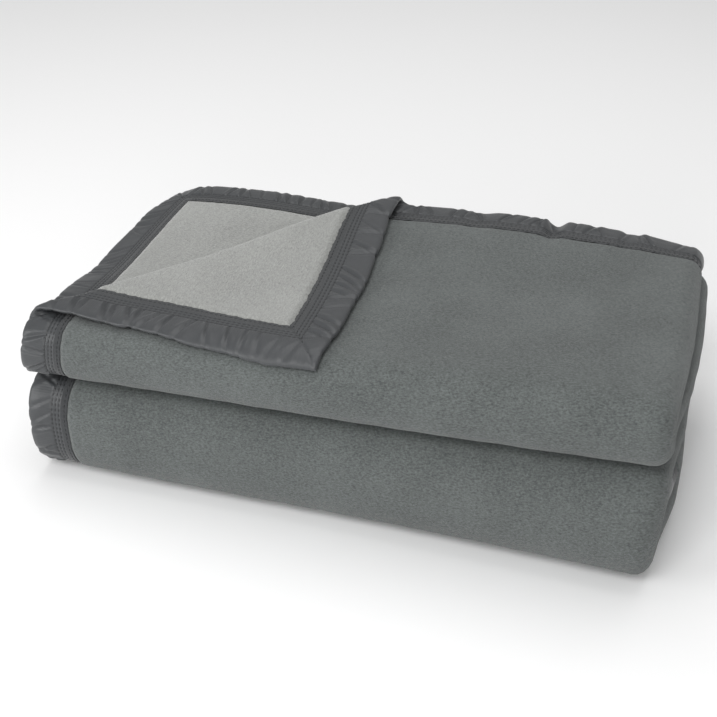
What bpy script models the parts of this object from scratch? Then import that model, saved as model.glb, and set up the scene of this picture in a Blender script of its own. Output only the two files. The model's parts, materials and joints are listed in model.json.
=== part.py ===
"""A folded woollen camp blanket, bound with ribbon on all four edges.

The blanket is one cloth, about 1.5 m by 2.4 m, dark on one face and light on the other. It is folded in four
across its width, light face inside, which makes a packet of four layers. The packet is then folded to and fro
along its length into five panels. One corner of the top layer is turned back, so the light face shows.

A packet's layers, counted from its inner face: outer_under, inner_under, inner_over, outer_over. The first and
last are joined by a crease on the right, the two inner ones by a tighter crease inside it, and the two lower ones
by a crease on the left. The two upper layers end on the left in the blanket's bound side edges.

Metres, +Z up, +X to the right along the folds, -Y to the front. The origin is the middle of the underside.
"""

import math

import bmesh
import bpy
from mathutils import Vector

# Driving sizes
WIDTH = 0.605  # folded, along X
DEPTH = 0.352  # folded, along Y
PITCH = 0.0092  # one layer with its share of air
CLOTH = 0.0054  # a raised wool layer
RIBBON = 0.0004  # binding ribbon
RIBBON_WIDTH = 0.042  # how far the ribbon covers each face of the cloth
CLEAR = 0.0003  # between touching pieces
THREAD_RADIUS = 0.0002
LAYERS = 4
STITCH_ROWS = (0.026, 0.031, 0.036, 0.040)  # from the bound edge
LEAD = 0.008  # straight cloth beside a fold that opens
CORNER_START = 0.018  # from the front of the rolls to where the turned corner's crease begins
CREASE_CLEAR = 0.0006  # from the corner's crease line to the cut cloth on each side of it
BOUND_EDGE_INSET = 0.0012  # the top panel's back edge from the back fold's axis
INNER_END_CLEAR = 0.003  # the last panel's end from the lower front fold's axis
BASE_BACK_CLEAR = 0.0015  # the base fold's back from the upper back fold's axis

FOLD_STEPS = 6  # facets in a half turn
WIDE_TURN_STEPS = 6
TIGHT_TURN_STEPS = 4

# Worked out from them
PACKET = LAYERS * PITCH
HALF_CLOTH = CLOTH / 2
BOUND_HALF = HALF_CLOTH + CLEAR + RIBBON  # half the thickness of a bound edge
THREAD_OUT = BOUND_HALF + CLEAR + THREAD_RADIUS  # a thread's centre from the middle of its layer
OUTER_OVER, INNER_OVER, INNER_UNDER, OUTER_UNDER = 3.5 * PITCH, 2.5 * PITCH, 1.5 * PITCH, 0.5 * PITCH
LEFT = -WIDTH / 2
CLOTH_LEFT = LEFT + 0.0022  # clear of the bend of the ribbon round it
TURN_X = WIDTH / 2 - 1.5 * PITCH - BOUND_HALF / math.cos(math.pi / 2 / WIDE_TURN_STEPS)  # right creases' centre
LEFT_CREASE_INSET = 0.003
LEFT_CREASE_X = LEFT + LEFT_CREASE_INSET + PITCH / 2 + HALF_CLOTH

BASE_Z = BOUND_HALF - PITCH / 2
LEVEL = [BASE_Z + i * PACKET for i in range(6)]  # where each packet of the stack begins
TOP_Z = LEVEL[5]
TURNED_Z = TOP_Z + PITCH / 2  # middle of the turned-back corner

FRONT = -DEPTH / 2
ROLL_REACH = OUTER_OVER + THREAD_OUT + THREAD_RADIUS
UPPER_FRONT_Y = FRONT + ROLL_REACH  # axis of the upper front fold
LOWER_FRONT_Y = FRONT + PACKET / 2 + ROLL_REACH  # the lower one goes round the tucked-in end
BACK_Y = DEPTH / 2 - OUTER_OVER - HALF_CLOTH  # axis of the back fold
BASE_BACK_Y = BACK_Y - OUTER_OVER - BOUND_HALF - BASE_BACK_CLEAR
HEAD_Y = BACK_Y - BOUND_EDGE_INSET  # outside of the top panel's bound back edge
HEAD_CLOTH_Y = HEAD_Y - RIBBON - CLEAR
FOOT_Y = LOWER_FRONT_Y + INNER_END_CLEAR  # outside of the tucked-in bound end
FOOT_CLOTH_Y = FOOT_Y + RIBBON + CLEAR
CORNER_Y = FRONT + CORNER_START

DARK_WOOL = ("dark_wool", "#6F7373", 0.95)
LIGHT_WOOL = ("light_wool", "#A3A5A2", 0.95)
SATIN = ("satin_ribbon", "#56585B", 0.45)
THREAD = ("sewing_thread", "#4A4C50", 0.6)


def clear_scene():
    for obj in list(bpy.data.objects):
        bpy.data.objects.remove(obj)


def material(name, colour, roughness):
    """A Principled material of an sRGB hex colour."""
    made = bpy.data.materials.get(name)
    if made:
        return made
    made = bpy.data.materials.new(name)
    made.use_nodes = True
    shader = made.node_tree.nodes["Principled BSDF"]
    shares = [int(colour[i : i + 2], 16) / 255 for i in (1, 3, 5)]
    linear = [c / 12.92 if c <= 0.04045 else ((c + 0.055) / 1.055) ** 2.4 for c in shares]
    shader.inputs["Base Color"].default_value = (*linear, 1)
    shader.inputs["Roughness"].default_value = roughness
    shader.inputs["Metallic"].default_value = 0
    return made


def collection(name):
    made = bpy.data.collections.new(name)
    bpy.context.scene.collection.children.link(made)
    return made


def mesh_object(name, bm, finish, group):
    mesh = bpy.data.meshes.new(name)
    bmesh.ops.recalc_face_normals(bm, faces=bm.faces)
    bm.to_mesh(mesh)
    bm.free()
    obj = bpy.data.objects.new(name, mesh)
    obj.data.materials.append(material(*finish))
    group.objects.link(obj)
    return obj


def hide(cutter):
    cutter.hide_render = True
    cutter.display_type = "WIRE"


def cut(obj, cutter):
    boolean = obj.modifiers.new("cut", "BOOLEAN")
    boolean.operation = "DIFFERENCE"
    boolean.object = cutter
    hide(cutter)


# The cloth across its width, as points (x, q): q is the height in the packet above its inner face


def turn(x, q, radius, steps, first, last):
    """Points on an arc in the cross-section, with angles in degrees."""
    angles = [math.radians(first + (last - first) * i / steps) for i in range(steps + 1)]
    return [(x + radius * math.cos(a), q + radius * math.sin(a)) for a in angles]


def folded_width(start, end):
    """The middle of the cloth from x = start on the outer upper layer to x = end on the inner upper layer."""
    return [
        (start, OUTER_OVER),
        *turn(TURN_X, 2 * PITCH, 1.5 * PITCH, WIDE_TURN_STEPS, 90, -90),
        *turn(LEFT_CREASE_X, PITCH, PITCH / 2, TIGHT_TURN_STEPS, 270, 90),
        *turn(TURN_X, 2 * PITCH, PITCH / 2, TIGHT_TURN_STEPS, -90, 90),
        (end, INNER_OVER),
    ]


def side_binding(layer):
    """The middle of a ribbon's thickness, wrapped round the bound left edge of a layer."""
    stand = HALF_CLOTH + CLEAR + RIBBON / 2
    bend = stand / 2
    inner = LEFT + RIBBON_WIDTH
    edge = LEFT + RIBBON / 2
    return [
        (inner, layer + stand),
        (edge + bend, layer + stand),
        (edge, layer + bend),
        (edge, layer - bend),
        (edge + bend, layer - stand),
        (inner, layer - stand),
    ]


# Panels and folds: the cross-section carried along the length


def section(bm, line, y, height):
    """The cross-section as a row of edges at y. height turns q into z."""
    verts = [bm.verts.new((x, y, height(q))) for x, q in line]
    return [bm.edges.new(pair) for pair in zip(verts, verts[1:])]


def carried(bm, edges, by):
    """Extrudes a row of edges by a vector and returns the new row."""
    made = bmesh.ops.extrude_edge_only(bm, edges=edges)["geom"]
    bmesh.ops.translate(bm, verts=[v for v in made if isinstance(v, bmesh.types.BMVert)], vec=by)
    return [e for e in made if isinstance(e, bmesh.types.BMEdge)]


def spun(bm, edges, axis, way):
    """Turns a row of edges half round an axis along X and returns the last row."""
    y, z = axis
    made = bmesh.ops.spin(
        bm, geom=edges, cent=(0, y, z), axis=(1, 0, 0), angle=-way * math.pi, steps=FOLD_STEPS, dvec=(0, 0, 0)
    )["geom_last"]
    return [e for e in made if isinstance(e, bmesh.types.BMEdge)]


def thickened(obj, thickness):
    solid = obj.modifiers.new("thickness", "SOLIDIFY")
    solid.thickness = thickness
    solid.offset = 0
    solid.use_even_offset = True
    return obj


def height_in(level, upright):
    """q to z for a packet that begins at this level, right way up or turned over."""
    return lambda q: LEVEL[level] + (q if upright else PACKET - q)


def panel(name, line, thickness, finish, group, level, upright, front, back):
    """A flat stretch of the packet, from front to back."""
    bm = bmesh.new()
    row = section(bm, line, front, height_in(level, upright))
    carried(bm, row, (0, back - front, 0))
    return thickened(mesh_object(name, bm, finish, group), thickness)


def fold(name, line, thickness, finish, group, axis, level, upright, way, lead=0.0):
    """A half turn of the packet about an axis along X, from the upper packet down to the lower one.

    level and upright are the upper packet's. way is -1 at the front and 1 at the back. A fold that opens has a
    straight lead at each end.
    """
    straight = way * (lead + CLEAR)
    bm = bmesh.new()
    row = section(bm, line, axis[0] - straight, height_in(level, upright))
    row = carried(bm, row, (0, straight, 0))
    row = spun(bm, row, axis, way)
    carried(bm, row, (0, -straight, 0))
    return thickened(mesh_object(name, bm, finish, group), thickness)


class Stretch:
    """One panel or fold of the packet: makes the cloth, or a ribbon, that runs through it."""

    def __init__(self, name, make, **place):
        self.name = name
        self.make = make
        self.place = place

    def build(self, prefix, line, thickness, finish, group):
        return self.make(f"{prefix}_{self.name}", line, thickness, finish, group, **self.place)


def stretches():
    """The nine stretches of the packet, from the blanket's head to its foot."""
    near = 2 * CLEAR  # a panel stops short of the fold beside it
    opening = LEAD + near
    return [
        Stretch("top_panel", panel, level=4, upright=True, front=UPPER_FRONT_Y + opening, back=HEAD_CLOTH_Y),
        Stretch(
            "upper_front_fold", fold, axis=(UPPER_FRONT_Y, LEVEL[4]), level=4, upright=True, way=-1, lead=LEAD
        ),
        Stretch(
            "middle_panel", panel, level=3, upright=False, front=UPPER_FRONT_Y + opening, back=BACK_Y - opening
        ),
        Stretch("back_fold", fold, axis=(BACK_Y, LEVEL[3]), level=3, upright=False, way=1, lead=LEAD),
        Stretch(
            "lower_panel", panel, level=2, upright=True, front=LOWER_FRONT_Y + near, back=BACK_Y - opening
        ),
        Stretch(
            "lower_front_fold", fold, axis=(LOWER_FRONT_Y, LEVEL[1] + PACKET / 2), level=2, upright=True, way=-1
        ),
        Stretch("base_panel", panel, level=0, upright=False, front=LOWER_FRONT_Y + near, back=BASE_BACK_Y - near),
        Stretch("base_back_fold", fold, axis=(BASE_BACK_Y, LEVEL[1]), level=1, upright=True, way=1),
        Stretch("tucked_panel", panel, level=1, upright=True, front=FOOT_CLOTH_Y, back=BASE_BACK_Y - near),
    ]


# The bound ends of the blanket, where the ribbon follows the folded width


def end_binding(name, edge_y, way, level, group, cutters):
    """The ribbon round the end of a panel. way is 1 for an end at the back and -1 for one at the front."""
    start = LEFT + RIBBON_WIDTH + CLEAR
    past = 0.002
    inner_y = edge_y - way * RIBBON_WIDTH
    rows = sorted((edge_y, inner_y))
    ribbon = panel(name, folded_width(start, start), 2 * BOUND_HALF, SATIN, group, level, True, *rows)
    rows = sorted((edge_y - way * RIBBON, inner_y - way * past))
    line = folded_width(start - past, start - past)
    core = panel(f"{name}_core", line, CLOTH + 2 * CLEAR, SATIN, cutters, level, True, *rows)
    cut(ribbon, core)
    return ribbon


# The turned-back corner


def turned(x, y):
    """Where a point of the top layer comes to lie when the corner is folded over its 45 degree crease."""
    return LEFT + (y - CORNER_Y), CORNER_Y + (x - LEFT)


def prism(name, outline, low, high, finish, group):
    """A flat outline in X and Y, extruded from low to high."""
    bm = bmesh.new()
    face = bm.faces.new([bm.verts.new((x, y, low)) for x, y in outline])
    made = bmesh.ops.extrude_face_region(bm, geom=[face])["geom"]
    verts = [v for v in made if isinstance(v, bmesh.types.BMVert)]
    bmesh.ops.translate(bm, verts=verts, vec=(0, 0, high - low))
    return mesh_object(name, bm, finish, group)


def crease_at(x, beyond=0.0):
    """y on the crease line at x, moved this far towards the back left corner."""
    return CORNER_Y + (x - LEFT) + beyond * math.sqrt(2)


def corner_outline(left, back, beyond, front=UPPER_FRONT_Y):
    """The flat part of the top layer behind the crease line, or behind a line this far beyond it."""
    crease_x = LEFT - CORNER_Y - beyond * math.sqrt(2)
    return [(left, front), (crease_x + front, front), (crease_x + back, back), (left, back)]


def corner_cutter(cutters):
    """The part of the top layer that is turned back, with room round it."""
    far = 0.01
    outline = corner_outline(LEFT - far, HEAD_Y + far, -CREASE_CLEAR)
    return prism("corner_cutter", outline, LEVEL[4] + 3 * PITCH, TOP_Z + far, DARK_WOOL, cutters)


def corner_cloth(group):
    outline = corner_outline(CLOTH_LEFT, HEAD_CLOTH_Y, CREASE_CLEAR, UPPER_FRONT_Y + CREASE_CLEAR)
    low, high = TURNED_Z - HALF_CLOTH, TURNED_Z + HALF_CLOTH
    return prism("cloth_turned_corner", [turned(*p) for p in outline], low, high, LIGHT_WOOL, group)


def corner_bindings(group, cutters):
    """The two ribbons on the turned corner, mitred at its tip."""
    front = UPPER_FRONT_Y + CREASE_CLEAR
    inner_x, inner_y = LEFT + RIBBON_WIDTH, HEAD_Y - RIBBON_WIDTH
    whole = corner_outline(LEFT, HEAD_Y, CREASE_CLEAR, front)
    side = [
        *whole[:2],
        (inner_x, crease_at(inner_x, CREASE_CLEAR)),
        (inner_x, inner_y - CLEAR),
        (LEFT, HEAD_Y - CLEAR),
    ]
    head = [
        (LEFT + CLEAR, HEAD_Y),
        (inner_x + CLEAR, inner_y),
        (whole[2][0] - RIBBON_WIDTH, inner_y),
        whole[2],
    ]
    past = 0.002
    hollow = corner_outline(LEFT + RIBBON, HEAD_Y - RIBBON, -past, front - past)
    for name, outline in (("side_ribbon_turned_corner", side), ("head_ribbon_turned_corner", head)):
        low, high = TURNED_Z - BOUND_HALF, TURNED_Z + BOUND_HALF
        ribbon = prism(name, [turned(*p) for p in outline], low, high, SATIN, group)
        low, high = TURNED_Z - HALF_CLOTH - CLEAR, TURNED_Z + HALF_CLOTH + CLEAR
        core = prism(f"{name}_core", [turned(*p) for p in hollow], low, high, SATIN, cutters)
        cut(ribbon, core)


def corner_crease(group):
    """The half round of cloth where the corner turns over, behind the front roll."""
    front, back = UPPER_FRONT_Y + 0.001, HEAD_Y - 0.006
    bm = bmesh.new()
    along = Vector((1, 1, 0)).normalized()
    outward = Vector((-1, 1, 0)).normalized()
    first = Vector((LEFT + front - CORNER_Y, front, TOP_Z))
    radius = PITCH / 2
    bend = turn(0.0012, 0, radius, TIGHT_TURN_STEPS, -90, 90)
    points = [(0, -radius), *bend, (0, radius)]
    verts = [bm.verts.new(first + outward * out + Vector((0, 0, up))) for out, up in points]
    row = [bm.edges.new(pair) for pair in zip(verts, verts[1:])]
    length = (back - front) * math.sqrt(2)
    carried(bm, row, along * length)
    return thickened(mesh_object("cloth_corner_crease", bm, LIGHT_WOOL, group), CLOTH)


# Sewing thread


def thread(name, points, group):
    curve = bpy.data.curves.new(name, "CURVE")
    curve.dimensions = "3D"
    curve.bevel_depth = THREAD_RADIUS
    curve.bevel_resolution = 1
    curve.use_fill_caps = True
    spline = curve.splines.new("POLY")
    spline.points.add(len(points) - 1)
    for point, place in zip(spline.points, points):
        point.co = (*place, 1)
    obj = bpy.data.objects.new(name, curve)
    obj.data.materials.append(material(*THREAD))
    group.objects.link(obj)
    return obj


def roll_thread(name, inset, axis, radius, group):
    """A row of stitching over a front roll, clear of the layers above and below it."""
    y, z = axis
    angles = [math.pi * i / FOLD_STEPS for i in range(1, FOLD_STEPS)]
    points = [(LEFT + inset, y - radius * math.sin(a), z + radius * math.cos(a)) for a in angles]
    return thread(name, points, group)


def stitching(group):
    stop = 0.004  # a row ends this far short of a crease
    over = LEVEL[4] + INNER_OVER + THREAD_OUT
    for row, inset in enumerate(STITCH_ROWS, 1):
        x, y = LEFT + inset, HEAD_Y - inset
        corner = [
            (x, crease_at(x) + stop),
            (x, y),
            (LEFT + (y - CORNER_Y) - stop, y),
        ]
        turned_corner = [(*turned(*p), TURNED_Z + THREAD_OUT) for p in corner]
        thread(f"turned_corner_stitch_row_{row}", turned_corner, group)
        thread(f"inner_corner_stitch_row_{row}", [(*p, over) for p in corner], group)
        start = LEFT + (y - CORNER_Y) + stop
        z = LEVEL[4] + OUTER_OVER + THREAD_OUT
        thread(f"head_stitch_row_{row}", [(start, y, z), (TURN_X, y, z)], group)
        radius = OUTER_OVER + THREAD_OUT
        roll_thread(f"upper_roll_stitch_row_{row}", inset, (UPPER_FRONT_Y, LEVEL[4]), radius, group)
        axis = (LOWER_FRONT_Y, LEVEL[1] + PACKET / 2)
        roll_thread(f"lower_roll_stitch_row_{row}", inset, axis, radius + PACKET / 2, group)


def main():
    clear_scene()
    blanket = collection("folded_camp_blanket")
    cutters = collection("cutters")
    corner = corner_cutter(cutters)
    cloth_line = folded_width(CLOTH_LEFT, CLOTH_LEFT)
    for stretch in stretches():
        cloth = stretch.build("cloth", cloth_line, CLOTH, DARK_WOOL, blanket)
        at_top = stretch.name == "top_panel"
        if at_top:
            cut(cloth, corner)
        else:
            ribbon = stretch.build("side_ribbon_a", side_binding(OUTER_OVER), RIBBON, SATIN, blanket)
            if stretch.name == "upper_front_fold":
                cut(cloth, corner)
                cut(ribbon, corner)
        stretch.build("side_ribbon_b", side_binding(INNER_OVER), RIBBON, SATIN, blanket)
    head = end_binding("head_ribbon", HEAD_Y, 1, 4, blanket, cutters)
    cut(head, corner)
    end_binding("foot_ribbon", FOOT_Y, -1, 1, blanket, cutters)
    corner_cloth(blanket)
    corner_bindings(blanket, cutters)
    corner_crease(blanket)
    stitching(blanket)


main()
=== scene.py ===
"""Looks of a folded, satin-bound wool camp blanket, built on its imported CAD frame.

The blanket is one sheet of cloth. Every point of it is named by u, its distance from the first side edge
across the width, v, its distance from the head edge along the length, and h, its height over the middle of
the cloth on the dark side. Two paths fold the sheet: one lays u to and fro across the stack, and one rolls v
up from the top panel to the tucked-in foot. All pieces are made through the same two paths, so they fit.
"""

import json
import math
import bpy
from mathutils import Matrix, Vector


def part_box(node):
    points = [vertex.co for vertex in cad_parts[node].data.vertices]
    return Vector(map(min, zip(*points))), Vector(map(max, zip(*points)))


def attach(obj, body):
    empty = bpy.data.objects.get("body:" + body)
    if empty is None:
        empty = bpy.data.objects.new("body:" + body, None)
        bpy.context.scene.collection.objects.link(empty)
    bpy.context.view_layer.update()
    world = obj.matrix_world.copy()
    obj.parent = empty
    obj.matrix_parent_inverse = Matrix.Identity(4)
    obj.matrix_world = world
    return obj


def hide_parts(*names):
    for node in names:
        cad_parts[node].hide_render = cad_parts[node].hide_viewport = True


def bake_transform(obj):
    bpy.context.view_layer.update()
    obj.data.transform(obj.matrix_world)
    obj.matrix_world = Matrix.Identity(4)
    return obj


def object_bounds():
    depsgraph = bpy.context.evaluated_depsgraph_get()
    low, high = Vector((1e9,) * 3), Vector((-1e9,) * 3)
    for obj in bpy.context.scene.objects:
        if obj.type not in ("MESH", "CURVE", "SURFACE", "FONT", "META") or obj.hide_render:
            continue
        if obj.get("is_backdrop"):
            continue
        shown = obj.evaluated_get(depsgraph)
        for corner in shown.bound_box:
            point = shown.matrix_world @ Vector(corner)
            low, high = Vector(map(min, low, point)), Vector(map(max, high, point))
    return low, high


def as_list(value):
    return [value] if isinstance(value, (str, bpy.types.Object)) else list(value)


bl_info = {
    "name": "Camp Blanket",
    "version": (1, 0, 0),
    "blender": (4, 5, 0),
    "location": "3D View > Sidebar > Blanket",
    "description": "Builds a folded wool camp blanket with satin binding on its packed frame",
    "category": "Add Mesh",
}

import bpy
import numpy as np
from bpy.props import FloatProperty, FloatVectorProperty, PointerProperty
from mathutils import Matrix, Vector

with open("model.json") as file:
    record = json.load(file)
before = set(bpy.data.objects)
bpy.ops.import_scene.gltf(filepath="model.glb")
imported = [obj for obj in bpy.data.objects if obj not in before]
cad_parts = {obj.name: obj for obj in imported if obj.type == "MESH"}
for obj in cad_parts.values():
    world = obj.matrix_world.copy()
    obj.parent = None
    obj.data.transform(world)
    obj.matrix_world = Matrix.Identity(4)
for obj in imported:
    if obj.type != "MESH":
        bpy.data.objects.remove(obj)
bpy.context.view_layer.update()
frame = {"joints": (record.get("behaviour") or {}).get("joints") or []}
joints = {j["name"]: j for j in frame["joints"]}

# ------------------------------------------------------------------ sizes from the frame, in metres
_, UPPER_FRONT_Y, L4 = joints["open_top_panel"]["pos_m"]
_, BACK_Y, L3 = joints["open_upper_half"]["pos_m"]
PACKET = L4 - L3  # the width is folded into a packet of four layers
PITCH = PACKET / 4  # from the middle of one layer of cloth to the next
L2, L1 = L3 - PACKET, L3 - 2 * PACKET
CORNER_Y = joints["turn_corner"]["pos_m"][1]
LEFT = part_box("side_ribbon_a_middle_panel")[0].x
HEAD_EDGE_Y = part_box("head_ribbon")[1].y
FOOT_EDGE_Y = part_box("foot_ribbon")[0].y
LOWER_FRONT_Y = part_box("cloth_lower_panel")[0].y - 0.0006
BASE_BACK_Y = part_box("cloth_base_back_fold")[0].y + 0.0004
TURN_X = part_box("cloth_top_panel")[1].x - 1.5 * PITCH - 0.0027
LEFT_CREASE_X = LEFT + 0.0099

# Each straight of the width path: length, x, height and direction. Each bend: length, centre, radius,
# first angle and sweep.
ACROSS = (
    ("straight", TURN_X - LEFT, LEFT, 3.5 * PITCH, 1),
    ("bend", 1.5 * PITCH * math.pi, TURN_X, 2 * PITCH, 1.5 * PITCH, 90, -180),
    ("straight", TURN_X - LEFT_CREASE_X, TURN_X, 0.5 * PITCH, -1),
    ("bend", 0.5 * PITCH * math.pi, LEFT_CREASE_X, PITCH, 0.5 * PITCH, -90, -180),
    ("straight", TURN_X - LEFT_CREASE_X, LEFT_CREASE_X, 1.5 * PITCH, 1),
    ("bend", 0.5 * PITCH * math.pi, TURN_X, 2 * PITCH, 0.5 * PITCH, -90, 180),
    ("straight", TURN_X - LEFT, TURN_X, 2.5 * PITCH, -1),
)
# Each panel of the length path: length, first y, direction, level, and the side on which height counts.
# Each roll: length, centre, radius at height 0, how the radius grows with height, which way it bulges,
# whether it starts on top, and how square it is.
ALONG = (
    ("panel", HEAD_EDGE_Y - UPPER_FRONT_Y, HEAD_EDGE_Y, -1, L4, 1),
    ("roll", 3.5 * PITCH * math.pi, UPPER_FRONT_Y, L4, 0.0, 1, -1, 1, 2.5),
    ("panel", BACK_Y - UPPER_FRONT_Y, UPPER_FRONT_Y, 1, L4, -1),
    ("roll", 3.5 * PITCH * math.pi, BACK_Y, L3, PACKET, -1, 1, 1, 2.2),
    ("panel", BACK_Y - LOWER_FRONT_Y, BACK_Y, -1, L2, 1),
    ("roll", 5.5 * PITCH * math.pi, LOWER_FRONT_Y, L1 + PACKET / 2, PACKET / 2, 1, -1, 1, 2.6),
    ("panel", BASE_BACK_Y - LOWER_FRONT_Y, LOWER_FRONT_Y, 1, L1, -1),
    ("roll", 3.5 * PITCH * math.pi, BASE_BACK_Y, L1, 0.0, 1, 1, -1, 2.1),
    ("panel", BASE_BACK_Y - FOOT_EDGE_Y, BASE_BACK_Y, -1, L1, 1),
)
U_STARTS = np.cumsum([0.0] + [part[1] for part in ACROSS])
V_STARTS = np.cumsum([0.0] + [part[1] for part in ALONG])
WIDTH, LENGTH = float(U_STARTS[-1]), float(V_STARTS[-1])

# The turned-back corner: its crease runs from (u, v) = (0, CREASE) to (CREASE, 0).
CREASE = V_STARTS[1] + (UPPER_FRONT_Y - CORNER_Y) * 0.25
CREASE_LENGTH = CREASE * math.sqrt(2)
CREASE_RADIUS = (0.6 * PITCH, 0.003)  # at its ends, and how much more halfway
CREASE_LEAD = 0.0005
REST_AFTER = 0.09  # how far behind the crease the turned cloth comes to rest
SKEW = (0.055, 0.092)  # how much further right and forward the turned corner's tip lies than in an exact fold
LOWER_STRETCHES = ("back_fold", "lower_panel", "lower_front_fold", "base_panel", "base_back_fold", "tucked_panel")
HOLD_ANGLE = 52  # the upper roll goes with the top panel down to this angle

# How the stack has slumped. Edges of the top layers that roll off downwards: how deep, and the x and y at which
# each begins, with how far on it is complete. Dips in the head edge: how deep, and the middle and half width in x.
ROLL_OFFS = (
    (0.011, 0.01, -0.06, 0.128, 0.045),  # back edge of the left half
    (0.010, -0.255, -0.045, -0.1, 0.08),  # left edge
    (0.006, -0.24, -0.06, 0.08, 0.06),  # back left corner
    (0.008, 0.22, 0.08, 0.03, 0.11),  # back right corner
)
DIPS = ((0.0075, 0.150, 0.013), (0.0025, 0.07, 0.02), (0.003, 0.225, 0.014))
SLID_OUT, CREPT_IN = 0.008, 0.007

# The bound edge: half its thickness at the very edge, beside it, and the puff over the ribbon's free part.
STITCH_ROWS = (0.0262, 0.0298, 0.0334, 0.0392)  # from the edge
STITCH_SPACING = 0.0046  # from one stitch to the next
PRESSED_HALF = 0.0008  # of the wool under the ribbon
EDGE_HALF, EDGE_RISE, EDGE_PUFF = 0.0019, 0.0005, 0.0008
LEAST_HALF = 0.0016  # in the deepest pucker
SELVAGE_START, SELVAGE_RISE = 0.0362, 0.00012
WOOL_INSET = 0.0022  # of the wool's end from the ribbon's edge
MITRE_REACH = 0.06  # how far from a corner the ribbon's mesh begins to slant towards its mitre
FINE, COARSE = 0.0011, 0.004  # mesh steps of the ribbons, where they show most and elsewhere
INNER_CORNER = 0.31  # how far from the last corner of the sheet its binding can be seen
SEED = 41


def smooth(t):
    """A soft step from 0 to 1."""
    t = np.clip(t, 0.0, 1.0)
    return t * t * (3 - 2 * t)


def bump(t):
    """A soft hump of height 1 at t 0, gone at t -1 and 1."""
    return smooth(1 - np.abs(t))


def parts_of(path, starts, at):
    """Each part of a path, which points lie on it, and how far along it they are."""
    for part, start, stop in zip(path, starts[:-1], starts[1:]):
        here = (at >= start) & (at <= stop)
        if part is path[0]:
            here |= at < 0
        if part is path[-1]:
            here |= at > stop
        yield part, here, (at - start)[here]


def lay_across(u):
    """x, height in the packet, and the dark side's normal in that plane, at distance u across the width."""
    x, q, nx, nq = (np.zeros_like(u) for _ in range(4))
    for part, here, t in parts_of(ACROSS, U_STARTS, u):
        if part[0] == "straight":
            _, _, x0, q0, way = part
            x[here], q[here], nx[here], nq[here] = x0 + way * t, q0, 0.0, way
        else:
            _, length, cx, cq, radius, first, sweep = part
            angle = np.radians(first + sweep * t / length)
            out = -math.copysign(1.0, sweep)
            x[here], q[here] = cx + radius * np.cos(angle), cq + radius * np.sin(angle)
            nx[here], nq[here] = out * np.cos(angle), out * np.sin(angle)
    return x, q, nx, nq


def lay_along(v, q):
    """y and z at distance v along the length, for cloth at height q in the packet."""
    y, z = np.zeros_like(v), np.zeros_like(v)
    for part, here, t in parts_of(ALONG, V_STARTS, v):
        height = q[here]
        if part[0] == "panel":
            _, _, y0, way, level, side = part
            y[here], z[here] = y0 + way * t, level + side * height
        else:
            _, length, cy, cz, least, grows, way, top, power = part
            angle = math.pi * t / length
            s, c = np.sin(angle), np.cos(angle)
            radius = (least + grows * height) * (np.abs(s) ** power + np.abs(c) ** power) ** (-1 / power)
            y[here], z[here] = cy + way * radius * s, cz + top * radius * c
    return y, z


def crease_radius(s):
    """Radius of the soft crease at distance s from its front end."""
    return CREASE_RADIUS[0] + CREASE_RADIUS[1] * np.sin(math.pi * np.clip(s / CREASE_LENGTH, 0, 1)) ** 2


def crease_cut(s):
    """How far from the crease line the turned corner's pieces begin, counted towards the corner."""
    return -(math.pi / 2 * crease_radius(s) + CREASE_LEAD)


def crease_solve(u=None, v=None, turn=None):
    """The missing one of u and v on the line where the crease has turned by a share of its bend, or is cut."""
    known = u if v is None else v
    found = np.full_like(known, CREASE) - known
    for _ in range(12):
        a, b = (known, found) if v is None else (found, known)
        s = (a + CREASE - b) / math.sqrt(2)
        d = crease_cut(s) if turn is None else math.pi * crease_radius(s) * (turn - 0.5)
        found = CREASE - math.sqrt(2) * d - known
    return found


def rest_height(radius, after):
    """Height of the turned cloth's middle over the layer, at a distance behind the crease."""
    return PITCH + (2 * radius - PITCH) * (1 - smooth(after / REST_AFTER))


def turn_over(u, v, h):
    """Carries points of the corner over its crease: their new u and v, and their height over the layer."""
    s, d = (u + CREASE - v) / math.sqrt(2), (CREASE - u - v) / math.sqrt(2)
    radius = crease_radius(s)
    start = -math.pi / 2 * radius
    angle = np.clip((d - start) / radius, 0, math.pi)
    after = d - math.pi / 2 * radius
    rest = rest_height(radius, after)
    d_new = np.where(d <= start, d, np.where(after <= 0, start + (radius - h) * np.sin(angle), -d))
    height = np.where(
        d <= start, h, np.where(after <= 0, radius - (radius - h) * np.cos(angle), rest - h)
    )
    u_new, v_new = (s - d_new) / math.sqrt(2), CREASE - (s + d_new) / math.sqrt(2)
    swing = u_new * smooth(after / 0.12)
    belly = 0.003 * bump((u_new - 0.08) / 0.08) * smooth(after / 0.03)
    return u_new + SKEW[0] * swing, v_new + SKEW[1] * swing + belly, height


def soften_corner(u, v):
    """Pulls the sheet's corners in a little, so that they are rounded."""
    first = np.clip(1 - u / 0.05, 0, 1) * np.clip(1 - v / 0.05, 0, 1)
    last = np.clip(1 - (WIDTH - u) / 0.07, 0, 1) * np.clip(1 - v / 0.07, 0, 1)
    first, last = 0.004 * first**1.2, 0.013 * last**1.2
    return u + first - last, v + first + last


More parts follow.
